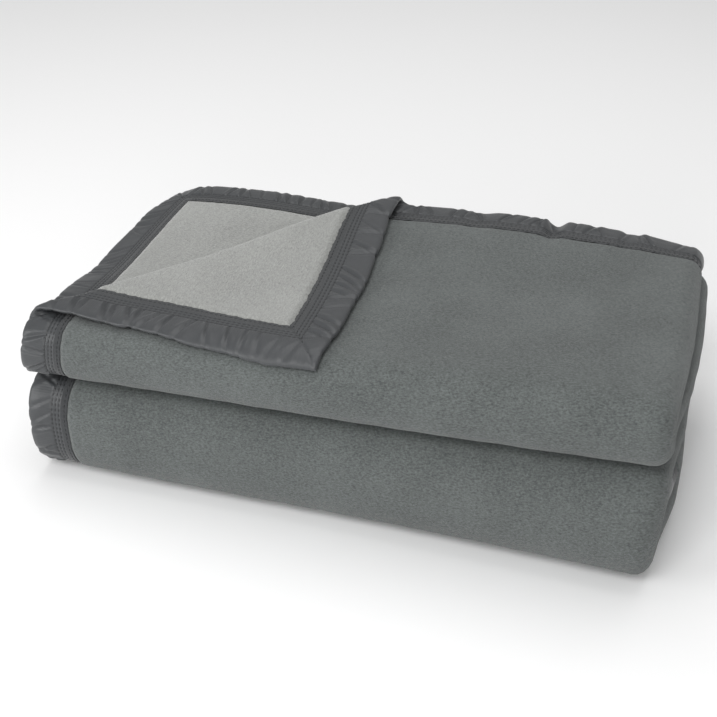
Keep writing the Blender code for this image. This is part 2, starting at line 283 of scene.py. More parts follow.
def settle(p):
    """How the folded stack has slumped and puckered: a soft move of every point, the same for all pieces."""
    x, y, z = p[..., 0], p[..., 1], p[..., 2]
    tall, side = np.clip(z / (L4 + PACKET), 0, 1.1), x / abs(LEFT)
    back, front = smooth((y + 0.03) / 0.17), smooth((0.02 - y) / 0.16)
    # The folded end stands fuller than the bound one, the back is fuller than the front, and the rolls bulge.
    dz = z * (0.003 + 0.078 * side) + (0.010 + 0.011 * smooth(-x / 0.2)) * back * tall**2
    dz = dz + (0.008 + 0.003 * side) * front * np.sin(math.pi * np.clip(tall, 0, 1))
    dz = dz - (0.003 + 0.001 * side) * tall**3 * smooth((y - 0.098) / 0.045)
    for depth, x_from, x_over, y_from, y_over in ROLL_OFFS:
        dz = dz - depth * tall**3 * smooth((x - x_from) / x_over) * smooth((y - y_from) / y_over)
    waves = 0.0022 * np.sin(9.0 * x + 4.0 * y + 0.6) + 0.0012 * np.sin(23.0 * x - 17.0 * y + 1.0)
    dz = dz + tall**3 * smooth((y + 0.17) / 0.06) * waves
    dips = sum(depth * bump((x - middle) / half_width) for depth, middle, half_width in DIPS)
    dz = dz - dips * smooth((y - 0.06) / 0.08) * smooth((z - L4) / 0.02)
    dy = -0.008 * front + (0.004 - 0.010 * side) * back
    dy = dy + 0.0016 * front * np.sin(11.0 * x + 30.0 * z + 0.4) + 0.0012 * back * np.sin(15.0 * x + 40.0 * z)
    dx = 0.0016 * side * np.sin(24.0 * y + 45.0 * z + 1.2)
    # The folded ends below the top panel have slid out to the right, and the top's bound end has crept in.
    below_top = smooth((L4 + 0.004 - z) / 0.008)
    dx = dx + SLID_OUT * smooth((x - 0.17) / 0.12) * below_top * smooth((y - UPPER_FRONT_Y) / 0.09)
    dx = dx + CREPT_IN * tall**3 * smooth((-0.17 - x) / 0.1) * smooth(y / 0.12)
    return p + np.stack([dx, dy, dz], -1)


def place(u, v, h, turned=False):
    """Points of the folded blanket in the frame."""
    u, v, h = np.broadcast_arrays(*(np.asarray(a, float) for a in (u, v, h)))
    u, v = soften_corner(u, v)
    if turned:
        u, v, h = turn_over(u, v, h)
    x, q, nx, nq = lay_across(u)
    y, z = lay_along(v, q + nq * h)
    return settle(np.stack([x + nx * h, y, z], -1))


def ripple(u, v, step, seed):
    """Gentle unevenness between about -1 and 1, with waves about step long."""
    chance = np.random.default_rng(seed)
    total = 0.0
    for _ in range(6):
        way, wave = chance.uniform(0, 2 * math.pi), step * chance.uniform(0.7, 1.5)
        phase = chance.uniform(0, 2 * math.pi)
        total = total + np.sin(2 * math.pi * (u * math.cos(way) + v * math.sin(way)) / wave + phase)
    return total / 3


# ------------------------------------------------------------------ thickness of cloth and ribbon
def edge_distance(u, v):
    """How far a point of the sheet lies from the nearest edge."""
    return np.minimum(np.minimum(u, WIDTH - u), np.minimum(v, LENGTH - v))


def on_edge(edge, s, e):
    """u and v at s along an edge and e from it, and the way inward."""
    return {
        "a": (e, s, (1, 0)),
        "b": (WIDTH - e, s, (-1, 0)),
        "head": (s, e, (0, 1)),
        "foot": (s, LENGTH - e, (0, -1)),
    }[edge]


def wool_half(u, v, sizes):
    """Half the cloth's thickness: pressed flat under the binding, full and uneven beyond it."""
    free = smooth((edge_distance(u, v) - sizes.ribbon_width + 0.002) / 0.007)
    full = sizes.cloth_thickness / 2 + 0.00022 * ripple(u, v, 0.03, SEED)
    return PRESSED_HALF + (full - PRESSED_HALF) * free


def puckers(length, seed, strength):
    """Puckers of one ribbon: place, slant, width and depth of each. strength is the depth along the ribbon."""
    chance = np.random.default_rng(seed)
    at, found = 0.004, []
    while at < length:
        found.append((at, chance.uniform(-0.6, 0.6), chance.uniform(0.0013, 0.0022), chance.uniform(0.4, 1.0)))
        at += chance.uniform(0.010, 0.022)
    rows = np.array(found)
    rows[:, 3] *= strength(rows[:, 0])
    return rows


def side_strength(v):
    """Depth of the puckers along the first side ribbon: deepest at the front of the turned corner."""
    return 0.45 + 0.55 * smooth((v - 0.08) / 0.08)


def even_strength(s):
    """Puckers of the same depth all along."""
    return np.full_like(s, 0.75)


PUCKERS = {
    "a": puckers(LENGTH, SEED + 1, side_strength),
    "b": puckers(LENGTH, SEED + 2, even_strength),
    "head": puckers(WIDTH, SEED + 3, even_strength),
}
PUCKERS["foot"] = PUCKERS["head"]


def pucker_depth(s, e, rows):
    """How deep the ribbon is drawn in, and how high it stands beside, at s along it and e from its edge."""
    valley, ridge = np.zeros_like(s), np.zeros_like(s)
    spread = 0.7 + 0.8 * np.clip(1 - e / STITCH_ROWS[0], 0, 1)
    for at, slant, width, depth in rows:
        t = (s - at - slant * (e - STITCH_ROWS[0])) / (width * spread)
        valley += depth * np.exp(-np.abs(t) ** 1.2)
        ridge += depth * (0.8 * np.exp(-((t - 2.0) ** 2) / 1.6) + 0.3 * np.exp(-((t + 2.2) ** 2) / 2.4))
    return valley, ridge


def ribbon_half(s, e, rows, sizes):
    """Half the bound edge's thickness: puffy and puckered outside the stitching, flat at the selvage."""
    outer = STITCH_ROWS[0]
    puff = EDGE_PUFF * np.sin(math.pi * np.clip(e / outer, 0, 1)) ** 0.7
    valley, ridge = pucker_depth(s, e, rows)
    drawn = smooth((outer + 0.001 - e) / 0.004) * (0.35 + 0.65 * smooth(e / 0.014))
    half = EDGE_HALF + EDGE_RISE * smooth(e / 0.006) + puff + sizes.pucker_depth * drawn * (0.7 * ridge - valley)
    for row in STITCH_ROWS[:3]:
        half = half - 0.0006 * np.exp(-(((e - row) / 0.0009) ** 2))
    return np.maximum(half, LEAST_HALF) + SELVAGE_RISE * smooth((e - SELVAGE_START) / 0.001)


def profile(sizes):
    """The ribbon's section round the cloth's edge: distance from the edge, and the side as 1 to -1."""
    flat = np.concatenate([np.linspace(sizes.ribbon_width, SELVAGE_START, 4), np.linspace(0.0353, 0.0245, 13)])
    flat = np.concatenate([flat, np.linspace(0.0228, 0.0036, 11)])
    angle = np.radians(np.linspace(75, -75, 7))
    e = np.concatenate([flat, EDGE_HALF * (1 - np.cos(angle)), flat[::-1]])
    side = np.concatenate([np.ones(len(flat)), np.sin(angle), -np.ones(len(flat))])
    return e, side


# ------------------------------------------------------------------ meshes
def new_piece(name, points, faces, uv, materials):
    """A smooth-shaded object made of four-sided faces, with sheet coordinates for each point as its UVs."""
    mesh = bpy.data.meshes.new(name)
    mesh.vertices.add(len(points))
    mesh.vertices.foreach_set("co", points.astype(np.float32).ravel())
    mesh.loops.add(faces.size)
    mesh.loops.foreach_set("vertex_index", faces.astype(np.int32).ravel())
    mesh.polygons.add(len(faces))
    mesh.polygons.foreach_set("loop_start", np.arange(0, faces.size, 4, dtype=np.int32))
    mesh.update(calc_edges=True)
    mesh.validate()
    for material in materials:
        mesh.materials.append(material)
    layer = mesh.uv_layers.new(name="sheet")
    layer.data.foreach_set("uv", uv[faces.ravel()].astype(np.float32).ravel())
    mesh.polygons.foreach_set("use_smooth", np.ones(len(faces), bool))
    mesh.update()
    piece = bpy.data.objects.new(name, mesh)
    bpy.context.scene.collection.objects.link(piece)
    return piece


def closed_sheet(name, outer, inner, uv, outer_slots, inner_slots, materials):
    """A closed mesh between two grids of points, with sharp rims, sheet coordinates as its UVs, and slots."""
    n, m = outer.shape[:2]
    points = np.concatenate([outer.reshape(-1, 3), inner.reshape(-1, 3)])
    at = np.arange(n * m).reshape(n, m)
    top = np.stack([at[:-1, :-1], at[1:, :-1], at[1:, 1:], at[:-1, 1:]], -1).reshape(-1, 4)
    under = top[:, ::-1] + n * m
    ring = np.concatenate([at[0, :-1], at[:-1, -1], at[-1, :0:-1], at[:0:-1, 0]])
    after = np.roll(ring, -1)
    rim = np.stack([ring, after, after + n * m, ring + n * m], -1)
    faces = np.concatenate([top, under, rim])
    a, b, c, d = (points[faces[:, k]] for k in range(4))
    volume = (np.einsum("ij,ij->i", a, np.cross(b, c)) + np.einsum("ij,ij->i", a, np.cross(c, d))).sum()
    if volume < 0:
        faces = faces[:, ::-1]
    piece = new_piece(name, points, faces, np.tile(uv.reshape(-1, 2), (2, 1)), materials)
    mesh = piece.data
    slots = np.concatenate([
        np.broadcast_to(outer_slots, (n - 1, m - 1)).ravel(),
        np.broadcast_to(inner_slots, (n - 1, m - 1)).ravel(),
        np.zeros(len(rim), int),
    ])
    mesh.polygons.foreach_set("material_index", slots.astype(np.int32))
    kind = np.repeat(np.concatenate([np.zeros(len(top)), np.ones(len(under)), np.full(len(rim), 2)]), 4)
    edge_of = np.empty(faces.size, np.int32)
    mesh.loops.foreach_get("edge_index", edge_of)
    low, high = np.full(len(mesh.edges), 9.0), np.full(len(mesh.edges), -1.0)
    np.minimum.at(low, edge_of, kind)
    np.maximum.at(high, edge_of, kind)
    mesh.edges.foreach_set("use_edge_sharp", low != high)
    mesh.update()
    return piece


def bend(piece, share):
    """Each point is moved to the place on such a line that gives its share, and put back afterwards.
    """
    mesh = piece.data
    rest = np.empty(len(mesh.vertices) * 3, np.float32)
    mesh.vertices.foreach_get("co", rest)
    line = np.zeros((len(mesh.vertices), 3), np.float32)
    line[:, 2] = 0.5 - np.sin(np.arcsin(1 - 2 * np.clip(share, 0, 1)) / 3)
    mesh.vertices.foreach_set("co", line.ravel())
    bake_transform(piece)
    mesh.vertices.foreach_set("co", rest)
    mesh.update()


def upper_share(v):
    """How far a point goes with the top panel rather than the middle panel."""
    angle = (v - V_STARTS[1]) / (V_STARTS[2] - V_STARTS[1]) * 180
    return 1 - np.clip((angle - HOLD_ANGLE) / (180 - HOLD_ANGLE), 0, 1)


def lower_share(v):
    """How far a point goes with the middle panel rather than the lower half."""
    return 1 - np.clip((v - V_STARTS[3]) / (V_STARTS[4] - V_STARTS[3]), 0, 1)


def corner_share(u, v):
    """How far a point goes with the turned-back corner rather than the top panel."""
    s, d = (u + CREASE - v) / math.sqrt(2), (CREASE - u - v) / math.sqrt(2)
    radius = crease_radius(s)
    height = rest_height(radius, d - math.pi / 2 * radius) - PITCH / 2
    away = np.maximum(d, math.pi / 2 * radius)
    reach = np.hypot(height, away)
    full = math.pi - np.arctan2(height, away) + np.arcsin(np.clip(PITCH / 2 / reach, 0, 1))
    turned = np.clip((d + math.pi / 2 * radius) / (math.pi * radius), 0, 1)
    most = math.radians(joints["turn_corner"]["range_deg"][1])
    return np.clip(turned * full / most, 0, 1)


def stations(start, stop, step):
    """Evenly spaced values from start to stop, about step apart."""
    return np.linspace(start, stop, max(2, int(round((stop - start) / step)) + 1))


def path_values(path, starts, step, folds):
    """Values along a whole path, about step apart, with folds steps in each bend or roll."""
    values = [starts[:1]]
    for part, start, stop in zip(path, starts[:-1], starts[1:]):
        flat = part[0] in ("straight", "panel")
        values.append((stations(start, stop, step) if flat else np.linspace(start, stop, folds + 1))[1:])
    return np.concatenate(values)


def along_values(first, last, step, folds):
    """v values for the parts of the length path from first to last."""
    return path_values(ALONG[first:last], V_STARTS[first : last + 1], step, folds)


def across_values(step, folds):
    """u values across the whole width."""
    return path_values(ACROSS, U_STARTS, step, folds)


def between(start, stop, step):
    """Rows of values from one line across the ribbon to another, about step apart."""
    start, stop = np.broadcast_arrays(start, stop)
    values = stations(float(start.min()), float(stop.max()), step)
    share = (values - values[0]) / (values[-1] - values[0])
    return start + (stop - start) * share[:, None]


def near_edge(values, first, last, sizes):
    """Adds close-set values where the wool rises beside the binding, at the first and last edge."""
    close = sizes.ribbon_width + np.array([-0.004, -0.002, -0.0005, 0.001, 0.0025, 0.004, 0.0055])
    if first is not None:
        values = values[(values > first + close[-1] + 0.003) | (values < first + close[0] - 0.003)]
        values = np.concatenate([values[values > first + WOOL_INSET], [first + WOOL_INSET], first + close])
    if last is not None:
        values = values[(values < last - close[-1] - 0.003) | (values > last - close[0] + 0.003)]
        values = np.concatenate([values[values < last - WOOL_INSET], [last - WOOL_INSET], last - close])
    return np.unique(values)


def cloth(name, u, v, sizes, looks, turned=False):
    """A double-faced piece of the cloth on a grid of u and v."""
    half = wool_half(u, v, sizes)
    outer, inner = place(u, v, half, turned), place(u, v, -half, turned)
    uv = np.stack(np.broadcast_arrays(u, v), -1)
    return closed_sheet(name, outer, inner, uv, 0, 1, [looks["dark_wool"], looks["light_wool"]])


def ribbon(name, edge, s, e, side, sizes, looks, turned=False, mitre=None):
    """A binding ribbon on a grid: columns run round the edge, and rows along it. s and e are its own
    distance along and from the edge, and mitre is how far each point lies from a mitred seam."""
    e, side = (np.tile(a, (len(s), 1)) for a in (e, side))
    u, v, (du, dv) = on_edge(edge, s, e)
    rows = PUCKERS[edge]
    half = ribbon_half(s, e, rows, sizes)
    if mitre is not None:
        half = half - 0.0006 * np.exp(-((mitre / 0.0016) ** 2))
    valley, _ = pucker_depth(s, np.zeros_like(s), rows)
    drawn = sizes.scallop_depth * (valley + 0.35 * np.sin(s / 0.0113)) * np.clip(1 - e / 0.024, 0, 1)
    ragged = 0.0007 * ripple(s, side * 0.05, 0.006, SEED + 5) * smooth((e - 0.040) / 0.002)
    drawn = drawn + ragged
    across = np.cos(np.arcsin(side)) * sizes.ribbon_thickness
    outer = place(u + du * drawn, v + dv * drawn, side * half, turned)
    inner = place(
        u + du * (drawn + across), v + dv * (drawn + across), side * (half - sizes.ribbon_thickness), turned
    )
    uv = np.stack([s, np.where(side >= 0, e, -e)], -1)
    middle = (e[:-1, :-1] + e[1:, 1:]) / 2
    slots = np.where(middle > 0.0357, 1, 0)
    return closed_sheet(name, outer, inner, uv, slots, 0, [looks["satin"], looks["selvage"]])


# ------------------------------------------------------------------ materials
def linear(hex_colour):
    """An sRGB hex colour, such as "#8A8A8A", as linear RGB."""
    parts = [int(hex_colour[k : k + 2], 16) / 255 for k in (1, 3, 5)]
    return [c / 12.92 if c <= 0.04045 else ((c + 0.055) / 1.055) ** 2.4 for c in parts]


def add(tree, kind, links=(), **values):
    """Adds a node: values set its properties, or its inputs by name, and links feed its inputs."""
    node = tree.nodes.new(kind)
    for key, value in values.items():
        if hasattr(node, key):
            setattr(node, key, value)
        else:
            node.inputs[key.replace("_", " ")].default_value = value
    for socket, source in links:
        tree.links.new(source, node.inputs[socket])
    return node


def new_material(name):
    """An empty node material with its shader and output joined, and the sheet's own coordinates."""
    material = bpy.data.materials.new(name)
    material.use_nodes = True
    tree = material.node_tree
    tree.nodes.clear()
    shader = add(tree, "ShaderNodeBsdfPrincipled")
    add(tree, "ShaderNodeOutputMaterial", [("Surface", shader.outputs[0])])
    sheet = add(tree, "ShaderNodeUVMap", uv_map="sheet")
    return material, tree, shader, sheet.outputs[0]


def noise(tree, coordinates, size, detail, roughness):
    """Noise with features about size metres across."""
    return add(
        tree, "ShaderNodeTexNoise", [("Vector", coordinates)], Scale=1 / size, Detail=detail, Roughness=roughness
    ).outputs[0]


def maths(tree, operation, *values):
    """A math node's output, from sockets and numbers."""
    links = [(k, value) for k, value in enumerate(values) if not isinstance(value, (int, float))]
    node = add(tree, "ShaderNodeMath", links, operation=operation)
    for k, value in enumerate(values):
        if isinstance(value, (int, float)):
            node.inputs[k].default_value = value
    return node.outputs[0]


def wave(tree, source, first, step):
    """A wave between 0 and 1 that peaks at first and every step after it."""
    turn = maths(tree, "MULTIPLY", maths(tree, "SUBTRACT", source, first), 2 * math.pi / step)
    return maths(tree, "MULTIPLY_ADD", maths(tree, "COSINE", turn), 0.5, 0.5)


def mix(tree, first, second, factor):
    """Two values mixed."""
    return add(tree, "ShaderNodeMix", [("A", first), ("B", second)], Factor=factor).outputs[0]


def varied(tree, shader, colour, factor, darker, lighter):
    """Gives the shader a colour that varies between two shares of it."""
    tint = add(tree, "ShaderNodeMix", [("Factor", factor)], data_type="RGBA")
    for socket, share in ((6, darker), (7, lighter)):
        tint.inputs[socket].default_value = [*(c * share for c in colour), 1]
    tree.links.new(tint.outputs[2], shader.inputs["Base Color"])
    return tint.outputs[2]


def raised(tree, shader, height, strength, distance, below=None):
    """Bump on the shader's normal, and on the finer bump below it if there is any."""
    links = [("Height", height)] + ([("Normal", below)] if below else [])
    relief = add(tree, "ShaderNodeBump", links, Strength=strength, Distance=distance)
    tree.links.new(relief.outputs[0], shader.inputs["Normal"])
    return relief.outputs[0]


def finish(shader, **values):
    """Sets constants on the shader's own sockets."""
    for key, value in values.items():
        shader.inputs[key.replace("_", " ")].default_value = value


def raised_wool(name, colour, contrast, fuzz):
    """Woven wool brushed up into a short dense nap: matt, with streaky lie and a soft bright rim."""
    material, tree, shader, sheet = new_material(name)
    # The nap's fibres lie along the width, in locks 1.5 to 3 mm long, over tufts and clouds of felted wool.
    locks = add(tree, "ShaderNodeMapping", [("Vector", sheet)], Scale=(0.55, 1.0, 1.0), Rotation=(0, 0, 0.35))
    nap = noise(tree, locks.outputs[0], 0.0015, 5.0, 0.8)
    tufts = noise(tree, sheet, 0.006, 4.0, 0.7)
    cloud = noise(tree, sheet, 0.07, 2.0, 0.5)
    level = add(tree, "ShaderNodeMapRange", [("Value", mix(tree, nap, mix(tree, tufts, cloud, 0.4), 0.3))])
    level.inputs["From Min"].default_value, level.inputs["From Max"].default_value = 0.40, 0.60
    varied(tree, shader, colour, level.outputs[0], 1 - contrast, 1 + contrast)
    raised(tree, shader, mix(tree, nap, tufts, 0.4), 0.8, 0.0018)
    finish(shader, Roughness=0.95, Specular_IOR_Level=0.15, Sheen_Weight=fuzz, Sheen_Roughness=0.5)
    return material


def satin(name, colour):
    """Satin-weave ribbon: long floating threads give a soft gloss, with a fine rib across the ribbon."""
    material, tree, shader, sheet = new_material(name)
    # Real threads are under 0.2 mm apart, so the rib is drawn 1.1 mm apart to show at all.
    rib = add(tree, "ShaderNodeTexWave", [("Vector", sheet)], Scale=1 / 0.0011 / 6.2832, Distortion=1.2, Detail=2.0)
    rib.inputs["Detail Scale"].default_value = 2.0
    slub = varied(tree, shader, colour, noise(tree, sheet, 0.006, 4.0, 0.6), 0.9, 1.1)
    # Painted shade of the needle holes: one dark dot for each stitch in the three close rows, where shadow would
    # fall in the hole.
    across = add(tree, "ShaderNodeSeparateXYZ", [("Vector", sheet)])
    inset = maths(tree, "ABSOLUTE", across.outputs[1])
    rows = wave(tree, inset, STITCH_ROWS[0], STITCH_ROWS[1] - STITCH_ROWS[0])
    holes = maths(tree, "MULTIPLY", rows, wave(tree, across.outputs[0], 0, STITCH_SPACING))
    close_rows = maths(tree, "COMPARE", inset, STITCH_ROWS[1], 1.5 * (STITCH_ROWS[1] - STITCH_ROWS[0]))
    dots = maths(tree, "MULTIPLY", holes, close_rows)
    # painted shade: each dot darkens the ribbon's colour to 35 percent of itself
    painted_hole_shade = add(tree, "ShaderNodeMix", [("Factor", dots), (6, slub)], data_type="RGBA")
    painted_hole_shade.inputs[7].default_value = [*(c * 0.35 for c in colour), 1]
    tree.links.new(painted_hole_shade.outputs[2], shader.inputs["Base Color"])
    fine = raised(tree, shader, rib.outputs["Fac"], 0.12, 0.0004)
    raised(tree, shader, noise(tree, sheet, 0.018, 2.0, 0.5), 0.35, 0.0025, fine)
    finish(shader, Roughness=0.42, Specular_IOR_Level=0.5, Sheen_Weight=0.12, Sheen_Roughness=0.4)
    return material


def selvage(name, colour):
    """The ribbon's own woven selvage: a matt, slightly fuzzy strip beside the last row of stitching."""
    material, tree, shader, sheet = new_material(name)
    fuzz = noise(tree, sheet, 0.0016, 4.0, 0.7)
    varied(tree, shader, colour, fuzz, 0.7, 1.3)
    raised(tree, shader, fuzz, 0.6, 0.001)
    finish(shader, Roughness=0.85, Sheen_Weight=0.2)
    return material


def thread(name, colour):
    """Twisted polyester sewing thread: a slightly glossy strand with a slanting twist."""
    material, tree, shader, sheet = new_material(name)
    # The twist repeats every 0.5 mm on the real thread, and every 1 mm here so that it shows.
    twist = add(tree, "ShaderNodeTexWave", [("Vector", sheet)], Scale=1 / 0.001 / 6.2832, Distortion=0.5)
    twist.bands_direction = "DIAGONAL"
    raised(tree, shader, twist.outputs["Fac"], 0.4, 0.0003)
    finish(shader, Base_Color=[*colour, 1], Roughness=0.5)
    return material


def plain_floor(name, colour):
    """Smooth matt card: even and pale."""
    material = bpy.data.materials.new(name)
    material.use_nodes = True
    shader = material.node_tree.nodes["Principled BSDF"]
    finish(shader, Base_Color=[*colour, 1], Roughness=0.9)
    return material


def looks_of(context):
    """The blanket's materials, made once from the scene's colours."""
    colours = context.scene.blanket_colours
    makers = {
        "dark_wool": ("Raised wool, dark grey", lambda n: raised_wool(n, colours.dark_wool, 0.42, 0.2)),
        "light_wool": ("Raised wool, light grey", lambda n: raised_wool(n, colours.light_wool, 0.3, 0.5)),
        "satin": ("Satin ribbon, charcoal", lambda n: satin(n, colours.ribbon)),
        "selvage": ("Woven selvage, charcoal", lambda n: selvage(n, [0.72 * c for c in colours.ribbon])),
        "thread": ("Twisted polyester thread, charcoal", lambda n: thread(n, colours.thread)),
    }
    return {key: bpy.data.materials.get(name) or make(name) for key, (name, make) in makers.items()}


# ------------------------------------------------------------------ the add-on
def metres(name, description, default):
    """A property that holds a length in metres."""
    return FloatProperty(name=name, description=description, default=default, unit="LENGTH")


def shade(name, description, default):
    """A property that holds a colour, given as sRGB hex."""
    return FloatVectorProperty(
        name=name, description=description, subtype="COLOR", default=linear(default), min=0, max=1
    )


class BlanketSizes(bpy.types.PropertyGroup):
    """Sizes of the blanket that a user would change."""

    cloth_thickness: metres("Cloth thickness", "Thickness of the raised wool cloth", round(0.885 * PITCH, 4))
    ribbon_width: metres("Ribbon width", "Width of binding on each face", 0.042)
    ribbon_thickness: metres("Ribbon thickness", "Thickness of the binding ribbon", 0.0004)
    pucker_depth: metres("Pucker depth", "How deep the ribbon is drawn in at a pucker", 0.0033)
    scallop_depth: metres("Scallop depth", "How far the bound edge is drawn in at a pucker", 0.0014)
    stitch_length: metres("Stitch length", "Length of one stitch that shows", 0.0034)
    stitch_gap: metres("Stitch gap", "Gap between two stitches", 0.0012)
    stitch_thickness: metres("Stitch thickness", "Thickness of the thread as it lies", 0.0009)
    mesh_step: metres("Mesh step", "Size of the cloth's mesh faces", 0.0065)


class BlanketColours(bpy.types.PropertyGroup):
    """Colours of the blanket and its floor."""

    dark_wool: shade("Dark wool", "Outer face", "#5C605F")
    light_wool: shade("Light wool", "Inner face", "#90918E")
    ribbon: shade("Ribbon", "Binding ribbon", "#3C3E40")
    thread: shade("Thread", "Sewing thread", "#26282A")
    floor: shade("Floor", "Plain floor", "#FAFAFA")


class BLANKET_OT_wool_cloth(bpy.types.Operator):
    """Builds the double-faced wool cloth: the upper two panels, and the lower three with the back fold."""

    bl_idname = "blanket.wool_cloth"
    bl_label = "Wool cloth"

    def execute(self, context):
        sizes, looks = context.scene.blanket_sizes, looks_of(context)
        whole = near_edge(across_values(sizes.mesh_step, 10), 0.0, WIDTH, sizes)
        v = near_edge(along_values(0, 3, sizes.mesh_step, 20), 0.0, None, sizes)
        knot = 0.36  # the mesh slants from here to the crease
        start = np.maximum(crease_solve(v=v), whole[0])
        share = (whole[whole <= knot] - whole[0]) / (knot - whole[0])
        first = start[:, None] + (knot - start[:, None]) * share[None, :] / share[-1]
        u = np.concatenate([first, np.tile(whole[whole > knot], (len(v), 1))], 1)
        grid = np.tile(v[:, None], (1, u.shape[1]))
        upper = cloth("wool_cloth_upper", u, grid, sizes, looks)
        bend(upper, np.tile(upper_share(grid).ravel(), 2))
        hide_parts("cloth_top_panel", "cloth_upper_front_fold", "cloth_middle_panel")
        v = near_edge(along_values(3, 9, sizes.mesh_step, 20), None, LENGTH, sizes)
        u, grid = np.meshgrid(whole, v)
        lower = cloth("wool_cloth_lower", u, grid, sizes, looks)
        bend(lower, np.tile(lower_share(grid).ravel(), 2))
        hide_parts(*[f"cloth_{name}" for name in LOWER_STRETCHES])
        return {"FINISHED"}


class BLANKET_OT_turned_corner(bpy.types.Operator):
    """Builds the corner of the top layer that is turned back, with its soft crease."""

    bl_idname = "blanket.turned_corner"
    bl_label = "Turned-back corner"

    def execute(self, context):
        sizes, looks = context.scene.blanket_sizes, looks_of(context)
        inset = WOOL_INSET * math.sqrt(2)
        turns = [None, *np.linspace(0, 1, 15)]
        shares = np.linspace(0, 1, 86)[1:]
        column = np.linspace(0, 1, 190)
        rows_u, rows_v = [], []
        for row in [*turns, *shares]:
            s = CREASE_LENGTH * column
            for _ in range(8):
                radius = crease_radius(s)
                if row is None:
                    d = crease_cut(s)
                elif len(rows_u) <= 15:
                    d = math.pi * radius * (row - 0.5)
                else:
                    d = math.pi / 2 * radius + (CREASE_LENGTH / 2 - 0.0045 - math.pi / 2 * radius) * row
                first, last = d[0] + inset, CREASE_LENGTH - d[-1] - inset
                s = first + (last - first) * column
            rows_u.append((s - d) / math.sqrt(2))
            rows_v.append(CREASE - (s + d) / math.sqrt(2))
        u, v = np.array(rows_u), np.array(rows_v)
        corner = cloth("wool_turned_corner", u, v, sizes, looks, turned=True)
        bend(corner, np.tile(corner_share(u, v).ravel(), 2))
        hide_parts("cloth_turned_corner", "cloth_corner_crease")
        return {"FINISHED"}


class BLANKET_OT_side_ribbons(bpy.types.Operator):
    """Builds the satin binding of both side edges, apart from the turned-back corner's."""

    bl_idname = "blanket.side_ribbons"
    bl_label = "Side ribbons"

    def execute(self, context):
        sizes, looks = context.scene.blanket_sizes, looks_of(context)
        e, side = profile(sizes)
        upper = along_values(1, 2, FINE, 70), along_values(2, 3, COARSE, 44)[1:]
        lower_roll = along_values(5, 6, FINE, 100)[1:]
        lower = along_values(3, 5, COARSE, 24), lower_roll, along_values(6, 9, COARSE, 24)[1:]
        panels = {"upper": np.concatenate(upper), "lower": np.concatenate(lower)}
        stretches = {"upper": ["upper_front_fold", "middle_panel"], "lower": LOWER_STRETCHES}
        for letter in ("a", "b"):
            for part, values in panels.items():
                mitre = None
                if part == "upper":
                    knot = V_STARTS[2] - 0.012
                    first = crease_solve(u=e) if letter == "a" else e
                    rest = np.tile(values[values > knot][:, None], (1, len(e)))
                    grid = np.concatenate([between(first, knot, FINE), rest])
                    if letter == "b":
                        mitre = grid - e
                else:
                    knot = LENGTH - MITRE_REACH
                    rest = np.tile(values[values < knot][:, None], (1, len(e)))
                    grid = np.concatenate([rest, between(knot, LENGTH - e, FINE)])
                    mitre = LENGTH - grid - e
                piece = ribbon(f"ribbon_side_{letter}_{part}", letter, grid, e, side, sizes, looks, mitre=mitre)
                if part == "upper":
                    bend(piece, np.tile(upper_share(grid).ravel(), 2))
                else:
                    bend(piece, np.tile(lower_share(grid).ravel(), 2))
                nodes = [f"side_ribbon_{letter}_{n}" for n in stretches[part]]
                if letter == "b" and part == "upper":
                    nodes.append("side_ribbon_b_top_panel")
                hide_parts(*nodes)
        return {"FINISHED"}


class BLANKET_OT_end_ribbons(bpy.types.Operator):
    """Builds the satin binding of the head edge and of the tucked-in foot edge."""

    bl_idname = "blanket.end_ribbons"
    bl_label = "End ribbons"

    def execute(self, context):
        sizes, looks = context.scene.blanket_sizes, looks_of(context)
        e, side = profile(sizes)
        middle = across_values(COARSE, 16)
        for end in ("head", "foot"):
            if end == "head":
                first, low, high, step = crease_solve(v=e), U_STARTS[1] - 0.004, WIDTH - INNER_CORNER, FINE
            else:
                first, low, high, step = e, MITRE_REACH, WIDTH - MITRE_REACH, COARSE
            body = np.tile(middle[(middle > low) & (middle < high)][:, None], (1, len(e)))
            u = np.concatenate([between(first, low, step), body, between(high, WIDTH - e, step)])
            mitre = WIDTH - u - e if end == "head" else np.minimum(u - e, WIDTH - u - e)
            piece = ribbon(f"ribbon_{end}", end, u, e, side, sizes, looks, mitre=mitre)
            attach(piece, "top_panel" if end == "head" else "lower_half")
            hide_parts(f"{end}_ribbon")
        return {"FINISHED"}


class BLANKET_OT_corner_ribbons(bpy.types.Operator):
    """Builds the two ribbons of the turned-back corner, which go over its crease and meet in a mitre."""

    bl_idname = "blanket.corner_ribbons"
    bl_label = "Turned corner's ribbons"

    def execute(self, context):
        sizes, looks = context.scene.blanket_sizes, looks_of(context)
        e, side = profile(sizes)
        for edge in ("side", "head"):
            known = {"u": e} if edge == "side" else {"v": e}
            rows = [crease_solve(**known)]
            rows += [crease_solve(**known, turn=t) for t in np.linspace(0, 1, 17)]
            step = np.linspace(0, 1, 270)[1:]
            rows = np.concatenate([np.array(rows), rows[-1][None, :] + step[:, None] * (e - rows[-1])[None, :]])
            name, which = f"ribbon_turned_corner_{edge}", "a" if edge == "side" else "head"
            piece = ribbon(name, which, rows, e, side, sizes, looks, turned=True, mitre=rows - e)
            u, v, _ = on_edge(which, rows, np.tile(e, (len(rows), 1)))
            bend(piece, np.tile(corner_share(u, v).ravel(), 2))
            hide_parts(f"{edge}_ribbon_turned_corner")
        return {"FINISHED"}


